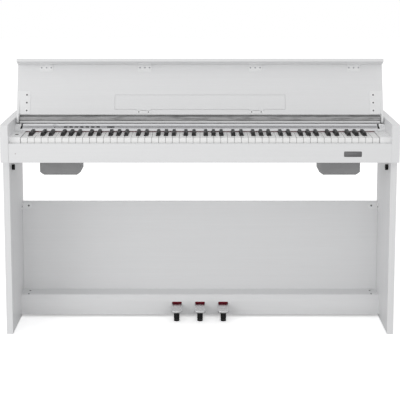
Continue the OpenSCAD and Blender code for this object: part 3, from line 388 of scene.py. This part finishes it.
def green_laminate():
    """Circuit board: solder mask over a grid of lighter copper tracks."""
    f = Finish("green_laminate", (0.02, 0.15, 0.07), 0.35)
    tracks = f.cells(f.place((1, 1.6, 1)), 210.0, feature="DISTANCE_TO_EDGE")
    f.tint(tracks, (0.05, 0.26, 0.12), (0.012, 0.11, 0.05), 0.04, 0.09)
    return f.emboss(tracks, 0.2, 0.00005).material


FINISHES = {
    "white_key": key_gloss(),
    "black_key": key_satin(),
    "white_plastic": moulded("white_plastic", (0.88, 0.88, 0.883), 0.3, 900.0, 0.00005),
    "black_plastic": moulded("black_plastic", (0.010, 0.010, 0.0105), 0.6,
                             Specular_IOR_Level=0.12),
    "pod_plastic": moulded("pod_plastic", (0.27, 0.27, 0.275), 0.5, 1100.0, 0.00012),
    "white_steel": powder_coat(),
    "strip_metal": brushed_strip(),
    "grille": mottled_grille(),
    "plain_steel": zinc_plate(),
    "black_steel": moulded("black_steel", (0.025, 0.025, 0.027), 0.4, 700.0),
    "pedal_metal": polished_plate(),
    "knob_metal": turned_knob(),
    "felt": red_felt(),
    "post_rubber": post_rubber(),
    "driver": speaker_paper(),
    "board_green": green_laminate(),
}
SCREW_STEEL = screw_steel()
FOIL_ALONG = foil_on_board("foil_along", 0)
FOIL_FRONT_TO_BACK = foil_on_board("foil_front_to_back", 1)
FOIL_UPRIGHT = foil_on_board("foil_upright", 2, 0.05)
FOIL_OF = {
    "left_leg": FOIL_UPRIGHT, "right_leg": FOIL_UPRIGHT,
    "left_side_panel": FOIL_FRONT_TO_BACK, "right_side_panel": FOIL_FRONT_TO_BACK,
}


def finish_of(node, slot):
    """A slot's finish; on the foiled boards the grain follows the board."""
    return FOIL_OF.get(node, FOIL_ALONG) if slot == "white_panel" else FINISHES[slot]


SLOT_OF = {}
for node, thing in NODES.items():
    SLOT_OF[node] = thing.material_slots[0].material.name.split(".")[0]
    for holder in thing.material_slots:
        holder.material = finish_of(node, SLOT_OF[node])


# ---------------------------------------------------------------- surfaces

WELD = 0.002 * MM


def piece(name, points, faces, finish, body, slot, smooth=40):
    """Makes one piece from arrays of points and faces, welds its seams and poles,
    turns its faces outwards and rides it on its body."""
    mesh = bpy.data.meshes.new(name)
    mesh.from_pydata(points.tolist(), [], faces.tolist())
    shape = bmesh.new()
    shape.from_mesh(mesh)
    bmesh.ops.remove_doubles(shape, verts=shape.verts, dist=WELD)
    bmesh.ops.recalc_face_normals(shape, faces=shape.faces)
    shape.to_mesh(mesh)
    shape.free()
    mesh.materials.append(finish)
    mesh.shade_smooth()
    mesh.set_sharp_from_angle(angle=math.radians(smooth))
    thing = bpy.data.objects.new(name, mesh)
    bpy.context.scene.collection.objects.link(thing)
    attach(thing, body)
    return thing


def grid_faces(rows, columns):
    """Quads between neighbouring rows of a grid whose columns close into a ring."""
    row, column = np.meshgrid(np.arange(rows - 1), np.arange(columns), indexing="ij")
    here = row * columns + column
    beside = row * columns + (column + 1) % columns
    return np.stack([here, beside, beside + columns, here + columns], axis=-1).reshape(-1, 4)


def revolved(radii, heights, turns=32):
    """A profile turned about Z: (r cos a, r sin a, h), for each profile point and
    each of the even turns a. A radius of nought closes a pole."""
    angle = np.arange(turns) * 2 * np.pi / turns
    r = np.asarray(radii, float)[:, None]
    h = np.asarray(heights, float)[:, None] + 0 * angle
    points = np.stack([r * np.cos(angle), r * np.sin(angle), h], axis=-1)
    return points, grid_faces(len(radii), turns)


def screw_head(radius, rise):
    """A pan head: a dome of height rise * sqrt(1 - 0.9 s^4) at a share s of the
    radius, with a cross recess where the distance to the nearer axis, within 0.62
    of the radius, is under a tenth of it."""
    share = np.array([0, 0.08, 0.18, 0.3, 0.42, 0.54, 0.62, 0.68, 0.8, 0.92, 1.0])
    dome = rise * np.sqrt(1 - 0.9 * share ** 4)
    points, faces = revolved(np.append(share, [1.0, 0.0]) * radius,
                             np.append(dome, [-0.2 * rise] * 2), turns=40)
    off_axis = np.minimum(np.abs(points[..., 0]), np.abs(points[..., 1])) / radius
    reach = np.hypot(points[..., 0], points[..., 1]) / radius
    recess = (np.clip((0.17 - off_axis) / 0.08, 0, 1)
              * np.clip((0.68 - reach) / 0.08, 0, 1))
    points[:-1, :, 2] -= 0.75 * rise * recess[:-1]
    return points, faces


def rounded_plate(length, height, corner, thickness, ease):
    """A plate with round corners in the XZ plane, its face towards -Y. Each ring is
    the outline drawn in by an inset: corner centre + (corner - inset) * (cos, sin);
    the rings run from the back's middle, over the eased edge, to the face's middle."""
    turns = 32
    angle = np.linspace(0, 2 * np.pi, turns + 1)[:-1] + np.pi / turns
    centre_x = np.sign(np.cos(angle)) * (length / 2 - corner)
    centre_z = np.sign(np.sin(angle)) * (height / 2 - corner)
    inset = np.array([corner, 0, 0, 0.3, 1.0, corner]) * np.array([1, 1, 1, ease, ease, 1])
    depth = np.array([0, 0, thickness - ease, thickness - 0.3 * ease, thickness, thickness])
    keep = np.array([0, 1, 1, 1, 1, 0])[:, None]
    reach = (corner - inset)[:, None]
    x = keep * (centre_x + reach * np.cos(angle))
    z = keep * (centre_z + reach * np.sin(angle))
    points = np.stack([x, -depth[:, None] + 0 * x, z], axis=-1)
    return points, grid_faces(len(inset), turns)


def copies(shape, centres, out):
    """Places copies of a shape: each centre + x u + y v + z n, where n is the given
    outward direction and u, v are square to it."""
    points, faces = shape
    flat = points.reshape(-1, 3)
    centres = np.asarray(centres, float).reshape(-1, 3)
    n = np.broadcast_to(np.asarray(out, float), centres.shape)
    n = n / np.linalg.norm(n, axis=1, keepdims=True)
    u = np.cross(n, np.where(np.abs(n[:, :1]) > 0.9, [0.0, 1.0, 0.0], [1.0, 0.0, 0.0]))
    u = u / np.linalg.norm(u, axis=1, keepdims=True)
    v = np.cross(n, u)
    placed = (centres[:, None] + flat[None, :, :1] * u[:, None]
              + flat[None, :, 1:2] * v[:, None] + flat[None, :, 2:] * n[:, None])
    block = np.arange(len(centres))[:, None, None] * len(flat)
    return placed.reshape(-1, 3), (faces[None] + block).reshape(-1, faces.shape[1])


def joined(*shapes):
    """One array of points and one of faces from several placed shapes."""
    starts = np.cumsum([0] + [len(points) for points, faces in shapes])
    shifted = [faces + start for (points, faces), start in zip(shapes, starts)]
    return np.concatenate([points for points, faces in shapes]), np.concatenate(shifted)


LID_PIVOT = np.array(JOINT_OF["lid"]["pos_m"])
LID_OPEN = math.radians(-JOINT_OF["lid"]["range_deg"][1])


def raised(points):
    """Turns points set out on the shut lid about its pivot to the open lid:
    pivot + (x, y cos a - z sin a, y sin a + z cos a)."""
    x, y, z = (np.asarray(points, float) - LID_PIVOT).T
    c, s = np.cos(LID_OPEN), np.sin(LID_OPEN)
    return LID_PIVOT + np.stack([x, y * c - z * s, y * s + z * c], axis=1)


def eased(node, radius):
    """A welded copy of a CAD node with its sharp edges rounded to a radius."""
    mesh = bpy.data.meshes.new(node + "_eased")
    shape = bmesh.new()
    shape.from_mesh(NODES[node].data)
    bmesh.ops.remove_doubles(shape, verts=shape.verts, dist=0.01 * MM)
    bmesh.ops.dissolve_limit(shape, angle_limit=math.radians(0.6), verts=shape.verts,
                             edges=shape.edges)
    shape.to_mesh(mesh)
    shape.free()
    mesh.polygons.foreach_set("use_smooth", [True] * len(mesh.polygons))
    mesh.materials.clear()
    mesh.materials.append(finish_of(node, SLOT_OF[node]))
    thing = bpy.data.objects.new(node + "_eased", mesh)
    bpy.context.scene.collection.objects.link(thing)
    edge = thing.modifiers.new("ease", "BEVEL")
    edge.width = radius
    edge.segments = 2
    edge.limit_method = "ANGLE"
    edge.angle_limit = math.radians(30)
    edge.harden_normals = True
    thing.modifiers.new("even_faces", "WEIGHTED_NORMAL").keep_sharp = True
    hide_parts(node)
    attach(thing, BODY_OF[node])


EASE_MM = {
    "white_panel": 0.7, "white_key": 0.35, "black_key": 0.8, "white_plastic": 0.8,
    "pod_plastic": 1.2, "knob_metal": 0.5,
}
BUTTON_EASE_MM = 0.5
KEEP_SHARP = {"speaker_grilles", "deck_rail", "key_bed"}
for node in NODES:
    if SLOT_OF[node] in EASE_MM and node not in KEEP_SHARP:
        eased(node, EASE_MM[SLOT_OF[node]] * MM)
    elif node.startswith("button_") or node in ("power_button", "value_rocker"):
        eased(node, BUTTON_EASE_MM * MM)


# ---------------------------------------------------------------- small pieces

PEDALS = ("pedal_left", "pedal_middle", "pedal_right")
PEDAL_BORE = 3.1 * MM
PEDAL_ROOT, LEVER = 16.5 * MM, 9 * MM  # half widths


def pedal_half_width(t, head):
    """Half width of a pedal at t metres from its tip: an arc sqrt(r^2 - (r - t)^2)
    and straight sides that draw in from head to root to lever, blended by
    (arc^-p + side^-p)^(-1/p) so that the front corners are round."""
    r, p = 1.35 * head, 11.0
    to_root = np.clip((t - 32 * MM) / (70 * MM), 0, 1)
    to_lever = np.clip((t - 120 * MM) / (8 * MM), 0, 1)
    arc = np.where(t < r, np.sqrt(np.maximum(r ** 2 - (r - t) ** 2, 1e-12)), 1.0)
    side = head - (head - PEDAL_ROOT) * to_root - (PEDAL_ROOT - LEVER) * to_lever
    return (arc ** -p + side ** -p) ** (-1 / p)


def bored_lever(lo, hi, pivot, half, front):
    """A lever's end with its pivot bore. At each turn a the bore is at r (cos a,
    sin a) and the outline is where the same ray leaves the lever's rectangle, at
    min(dy / |cos a|, dz / |sin a|); both are swept from one side to the other."""
    y, z = pivot
    corners = [math.atan2(dz - z, dy - y) for dy in (front, hi.y) for dz in (lo.z, hi.z)]
    turn = np.sort(np.append(np.linspace(-np.pi, np.pi, 48, endpoint=False), corners))
    c, s = np.cos(turn), np.sin(turn)
    reach = np.minimum(np.where(c > 0, hi.y - y, y - front) / np.maximum(np.abs(c), 1e-9),
                       np.where(s > 0, hi.z - z, z - lo.z) / np.maximum(np.abs(s), 1e-9))
    bore = PEDAL_BORE + 0 * c
    radius = np.stack([reach, reach, bore, bore, reach])
    side = np.array([-half, half, half, -half, -half])[:, None] + 0 * c
    middle = (lo.x + hi.x) / 2
    points = np.stack([middle + side, y + radius * c, z + radius * s], axis=-1)
    return points.reshape(-1, 3), grid_faces(len(radius), len(turn))


def pedal_plate(node):
    """A cast pedal. Its outline is spaced evenly round the plan; each ring of the
    surface is the outline drawn in by d along its normal, at a height z. From the
    underside's spine the rings run out, round a 3 mm and a 2.4 mm edge, and over a
    top that is crowned by c s^2, where s is the share of the way to the spine. The
    lever's bored end follows it, lapped over the plate's rounded rear."""
    lo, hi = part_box(node)
    pivot = JOINT_OF[BODY_OF[node]]["pos_m"][1:]
    length = pivot[0] - 5 * MM - lo.y
    t = np.concatenate([np.linspace(0, 1, 900) ** 2 * 30 * MM,
                        np.linspace(30 * MM, length, 900)[1:]])
    half = pedal_half_width(t, (hi.x - lo.x) / 2)
    half[0] = 0
    x, y = np.append(half, 0), np.append(t, length)
    run = np.append(0, np.cumsum(np.hypot(np.diff(x), np.diff(y))))
    head = 42 * MM
    steps = np.concatenate([np.linspace(0, head, 44), np.linspace(head, run[-1], 40)[1:]])
    right = np.stack([np.interp(steps, run, x), np.interp(steps, run, y)], axis=1)
    ring = np.concatenate([right, right[-2:0:-1] * [-1, 1]])
    along = np.roll(ring, -1, axis=0) - np.roll(ring, 1, axis=0)
    inward = np.stack([-along[:, 1], along[:, 0]], axis=1)
    inward /= np.linalg.norm(inward, axis=1, keepdims=True)

    under, over = 3.0 * MM, 2.4 * MM
    crown = 0.35 * MM
    quarter = np.linspace(0, np.pi / 2, 6)
    spread = np.array([0.75, 0.5, 0.25, 0.0])
    inset = np.concatenate([[under] * 2, under * (1 - np.sin(quarter[1:])),
                            over * (1 - np.cos(quarter)), [over] * 4])
    share = np.concatenate([[0.0], np.ones(12), spread])
    z = np.concatenate([[lo.z] * 2, lo.z + under * (1 - np.cos(quarter[1:])),
                        hi.z - crown - over * (1 - np.sin(quarter)),
                        hi.z - crown * spread ** 2])
    plan = ring[None] + inset[:, None, None] * inward[None]
    middle = (lo.x + hi.x) / 2
    points = np.stack([middle + share[:, None] * plan[..., 0], lo.y + plan[..., 1],
                       z[:, None] + 0 * plan[..., 0]], axis=-1)
    cast = points.reshape(-1, 3), grid_faces(len(z), len(ring))
    lever = bored_lever(lo, hi, pivot, LEVER - 0.05 * MM, pivot[0] - 9 * MM)
    plate = piece(node + "_plate", *joined(cast, lever), FINISHES["pedal_metal"],
                  BODY_OF[node], "pedal_metal", smooth=60)
    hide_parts(node)


def lid_fixings():
    """Washers and pan heads over the screw holes of the lid's two arms and of the
    four angle brackets along its lip, set out shut and facing down."""
    lid_inner, lid_rear = LID_PIVOT[2] - 7.3 * MM, LID_PIVOT[1] - 11.8 * MM
    plate = 1.6 * MM
    along = lid_rear - (14.5 + 28.5 * np.arange(3)) * MM
    arm_x, arm_y = np.meshgrid(SIDES * 615.0 * MM, along)
    brackets = np.array([-548.0, -197.0, 197.0, 548.0])
    lip_x = (brackets[:, None] + np.array([-17.0, 0, 17.0])) * MM
    lip_y = np.full(lip_x.size, CASE_FRONT + 26.0 * MM)
    x, y = np.append(arm_x, lip_x), np.append(arm_y, lip_y)
    holes = np.stack([x, y, np.full(x.size, lid_inner - plate)], axis=1)
    down = raised(LID_PIVOT + np.array([[0, 0, -1.0]]))[0] - LID_PIVOT
    washer = revolved(np.array([0, 7.6, 7.8, 7.5, 6.9, 0]) * MM,
                      np.array([0, 0, 0.35, 0.6, 0.7, 0.7]) * MM)
    seats = raised(holes) + 0.7 * MM * down  # on the washers
    head = screw_head(3.1 * MM, 1.5 * MM)
    piece("lid_screw_washers", *copies(washer, raised(holes), down),
          FINISHES["white_plastic"], "lid", "white_plastic")
    piece("arm_screw_heads", *copies(head, seats[:arm_x.size], down), SCREW_STEEL, "lid",
          "plain_steel")
    piece("lip_screw_heads", *copies(head, seats[arm_x.size:], down),
          FINISHES["plain_steel"], "lid", "plain_steel")


def stand_fixings():
    """Pan heads in the pedal box's top at each end, and in both leaves of the
    modesty panel's corner brackets."""
    box_lo, box_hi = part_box("pedal_box")
    leaf_lo, leaf_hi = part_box("corner_brackets")
    end_x, end_y = np.meshgrid(SIDES * (box_hi.x - 27 * MM),
                               box_lo.y + np.array([17.0, 62.0]) * MM)
    tops = np.stack([end_x.ravel(), end_y.ravel(), np.full(4, box_hi.z)], axis=1)
    height = (leaf_lo.z + leaf_hi.z) / 2
    leaf, hole = 2 * MM, 24 * MM  # thickness, and a hole's distance from the corner
    on_panel = [(side * (leaf_hi.x - hole), leaf_hi.y - leaf, height) for side in SIDES]
    on_legs = [(side * (leaf_hi.x - leaf), leaf_hi.y - hole, height) for side in SIDES]
    head = screw_head(3.4 * MM, 1.6 * MM)
    shapes = joined(copies(head, tops, (0, 0, 1)), copies(head, on_panel, (0, -1, 0)),
                    copies(head, on_legs[:1], (1, 0, 0)),
                    copies(head, on_legs[1:], (-1, 0, 0)))
    piece("stand_screw_heads", *shapes, SCREW_STEEL, "case", "plain_steel")


def back_fixings():
    """Flat pan heads along the rear board's upper and lower edges."""
    lo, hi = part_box("rear_board")
    across = np.linspace(lo.x + 16 * MM, hi.x - 16 * MM, 7)
    x, z = np.meshgrid(across, [lo.z + 12 * MM, hi.z - 8 * MM])
    places = np.stack([x.ravel(), np.full(x.size, hi.y), z.ravel()], axis=1)
    piece("back_screw_heads", *copies(screw_head(3.2 * MM, 0.5 * MM), places, (0, 1, 0)),
          FINISHES["black_steel"], "case", "black_steel")


def ledge_fixings():
    """Small pan heads on the fixed leaves of the ledge's two hinges."""
    knuckle = np.array(JOINT_OF["ledge"]["pos_m"])
    turn = np.array([0, np.cos(LID_OPEN), np.sin(LID_OPEN)])
    down = np.array([0, np.sin(LID_OPEN), -np.cos(LID_OPEN)])
    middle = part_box("ledge_hinges")[1].x - 26 * MM
    x = (SIDES[:, None] * middle + SIDES * 17.0 * MM).ravel()
    places = knuckle + 7.2 * MM * turn + 0.4 * MM * down + x[:, None] * np.array([1.0, 0, 0])
    piece("ledge_screw_heads", *copies(screw_head(2.2 * MM, 1.0 * MM), places, down),
          SCREW_STEEL, "lid", "plain_steel")


SLIP_SEAT = 0.8 * MM  # depth of the shallow seats in the slip's face


def slip_plate():
    """The bare plate let into the slip's seat, near its right end."""
    points, faces = rounded_plate(60.4 * MM, 18.4 * MM, 2.7 * MM, 1.2 * MM, 0.35 * MM)
    centre = np.array([521.0 * MM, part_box("key_slip")[0].y + SLIP_SEAT, 649.5 * MM])
    piece("slip_plate", points.reshape(-1, 3) + centre, faces, dark_lacquer(), "case",
          "black_plastic")


def power_lamp():
    """A small domed lens in a collar, let into the slip near its left end."""
    slip_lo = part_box("key_slip")[0]
    centre = [(slip_lo.x + 24 * MM, slip_lo.y + SLIP_SEAT, 651.0 * MM)]
    collar = revolved(np.array([1.3, 2.15, 2.15, 1.9, 1.45, 1.3]) * MM,
                      np.array([0, 0, 1.0, 1.15, 1.05, 0.0]) * MM)
    lens = revolved(np.array([0, 1.3, 1.3, 1.1, 0.7, 0]) * MM,
                    np.array([0, 0, 0.75, 1.0, 1.2, 1.28]) * MM)
    piece("power_lamp_collar", *copies(collar, centre, (0, -1, 0)),
          FINISHES["white_plastic"], "case", "white_plastic")
    piece("power_lamp_lens", *copies(lens, centre, (0, -1, 0)), lamp_lens(), "case",
          "black_plastic")


def groove_seal():
    """A black foam strip laid in the groove behind the control strip's ridge, a dark piece
    that stands in for the shade in the groove: a flat section with round edges, y = d cos a
    and z = h sin a, carried from end to end with a slight unevenness along it and closed
    flat at both ends."""
    strip_lo, strip_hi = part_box("control_strip")
    ridge, back = strip_hi.z, strip_hi.y
    turns = 16
    x = np.linspace(strip_lo.x + 1 * MM, strip_hi.x - 1 * MM, 88)
    x = np.concatenate([x[:1], x, x[-1:]])[:, None]
    angle = np.linspace(0, 2 * np.pi, turns + 1)[:-1]
    waver = 1 + 0.04 * np.sin(x * 61.0) + 0.03 * np.sin(x * 143.0 + 1.0)
    closing = np.ones((len(x), 1))
    closing[[0, -1]] = 0
    y = back - 0.2 * MM + closing * 4.7 * MM * np.cos(angle)
    z = ridge - 2.2 * MM + closing * waver * 1.1 * MM * np.sin(angle)
    points = np.stack([x + 0 * y, y, z], axis=-1).reshape(-1, 3)
    # painted shade: this dark strip stands in for the shade in the groove behind the ridge
    piece("groove_seal", points, grid_faces(len(x), turns), seal_foam(), "case",
          "black_plastic")


for pedal in PEDALS:
    pedal_plate(pedal)
lid_fixings()
groove_seal()
stand_fixings()
back_fixings()
ledge_fixings()
slip_plate()
power_lamp()


# ---------------------------------------------------------------- stage

def shader(nodes, kind, **values):
    """A new node with values set on its inputs."""
    node = nodes.new(kind)
    for socket, value in values.items():
        node.inputs[socket].default_value = value
    return node


WHITE = (1, 1, 1, 1)


def stage_floor():
    """A plain pale floor. Direct views of it are white, apart from the object's own shadow."""
    mesh = bpy.data.meshes.new("floor")
    reach = 14.0
    mesh.from_pydata([(-reach, -reach, 0), (reach, -reach, 0), (reach, reach, 0),
                      (-reach, reach, 0)], [], [(0, 1, 2, 3)])
    floor = bpy.data.objects.new("floor", mesh)
    bpy.context.scene.collection.objects.link(floor)
    paint = bpy.data.materials.new("floor_paint")
    paint.use_nodes = True
    nodes, links = paint.node_tree.nodes, paint.node_tree.links
    nodes.clear()
    seen = nodes.new("ShaderNodeLightPath").outputs["Is Camera Ray"]
    dull = shader(nodes, "ShaderNodeBsdfDiffuse", Color=(0.82, 0.82, 0.82, 1))
    bright = shader(nodes, "ShaderNodeBsdfDiffuse", Color=WHITE)
    glow = shader(nodes, "ShaderNodeEmission", Strength=0.45)
    both = nodes.new("ShaderNodeAddShader")
    pick = nodes.new("ShaderNodeMixShader")
    out = nodes.new("ShaderNodeOutputMaterial")
    links.new(bright.outputs[0], both.inputs[0])
    links.new(glow.outputs[0], both.inputs[1])
    links.new(seen, pick.inputs[0])
    links.new(dull.outputs[0], pick.inputs[1])
    links.new(both.outputs[0], pick.inputs[2])
    links.new(pick.outputs[0], out.inputs["Surface"])
    mesh.materials.append(paint)


def white_world(strength):
    """Soft light from all round; cameras and gloss see the white backdrop."""
    world = bpy.data.worlds.new("studio")
    bpy.context.scene.world = world
    world.use_nodes = True
    nodes, links = world.node_tree.nodes, world.node_tree.links
    nodes.clear()
    rays = nodes.new("ShaderNodeLightPath")
    direct = nodes.new("ShaderNodeMath")
    direct.operation = "MAXIMUM"
    seen = nodes.new("ShaderNodeMath")
    seen.operation = "MAXIMUM"
    links.new(rays.outputs["Is Camera Ray"], direct.inputs[0])
    links.new(rays.outputs["Is Transmission Ray"], direct.inputs[1])
    links.new(direct.outputs[0], seen.inputs[0])
    links.new(rays.outputs["Is Glossy Ray"], seen.inputs[1])
    light = shader(nodes, "ShaderNodeBackground", Color=WHITE, Strength=strength)
    white = shader(nodes, "ShaderNodeBackground", Color=WHITE, Strength=1.0)
    pick = nodes.new("ShaderNodeMixShader")
    out = nodes.new("ShaderNodeOutputWorld")
    links.new(seen.outputs[0], pick.inputs[0])
    links.new(light.outputs[0], pick.inputs[1])
    links.new(white.outputs[0], pick.inputs[2])
    links.new(pick.outputs[0], out.inputs["Surface"])


def soft_lamp(name, place, aim, size, power):
    """A large area lamp turned towards its aim."""
    lamp = bpy.data.lights.new(name, "AREA")
    lamp.shape = "RECTANGLE"
    lamp.size, lamp.size_y = size
    lamp.energy = power
    thing = bpy.data.objects.new(name, lamp)
    thing.location = place
    thing.rotation_mode = "QUATERNION"
    thing.rotation_quaternion = (Vector(aim) - Vector(place)).to_track_quat("-Z", "Y")
    bpy.context.scene.collection.objects.link(thing)


CAMERA_DISTANCE, CAMERA_HEIGHT = 4.4, 1.36
CAMERA_PITCH = math.radians(90 - 9.07)


def set_camera():
    """A long lens in front of the case, tipped down a little and shifted."""
    camera = bpy.data.cameras.new("camera")
    camera.sensor_width = 36.0
    camera.lens = 117.84
    camera.shift_y = -0.12
    camera.clip_end = 60
    thing = bpy.data.objects.new("camera", camera)
    thing.location = (0, CASE_FRONT - CAMERA_DISTANCE, CAMERA_HEIGHT)
    thing.rotation_euler = (CAMERA_PITCH, 0, 0)
    bpy.context.scene.collection.objects.link(thing)
    bpy.context.scene.camera = thing


stage_floor()
white_world(0.76)
soft_lamp("left_lamp", (-2.6, -2.5, 1.65), (0, 0, 0.6), (1.8, 1.8), 18.5)
soft_lamp("low_front_lamp", (0, -4.4, 0.35), (0, 0, 0.3), (3.4, 0.6), 16)
set_camera()
bpy.context.scene.view_settings.view_transform = "Standard"
